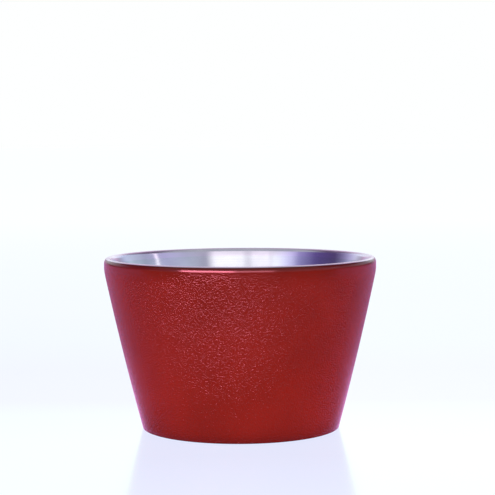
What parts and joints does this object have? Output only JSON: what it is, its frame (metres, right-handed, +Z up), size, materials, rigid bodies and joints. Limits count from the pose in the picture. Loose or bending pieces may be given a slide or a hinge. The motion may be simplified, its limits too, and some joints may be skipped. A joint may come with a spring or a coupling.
{
  "type": "titanium sake cup",
  "caption": "Small tapered double-walled titanium sake cup with a red lacquered outside, a bare metal bowl and a rounded lip.",
  "frame": {"origin": "centre of the plane that the cup stands on, on the cup's axis", "axes": "+Z up along the cup's axis, from the foot to the lip; every direction across it is alike"},
  "size_m": [0.0656, 0.0656, 0.0414],
  "materials": {
    "red_lacquer": "satin",
    "bare_titanium": "satin",
    "polished_titanium": "gloss",
    "weld_titanium": "satin",
    "seal_solder": "satin",
    "getter_metal": "matte"
  },
  "bodies": {
    "root": {"lacquer_coat": "red_lacquer", "outer_shell": "bare_titanium", "inner_shell": "bare_titanium", "lip_weld_bead": "polished_titanium", "base_plate": "bare_titanium", "base_weld_bead": "weld_titanium", "vacuum_seal": "seal_solder", "getter_holder": "weld_titanium", "getter_pellet": "getter_metal"}
  },
  "joints": []
}
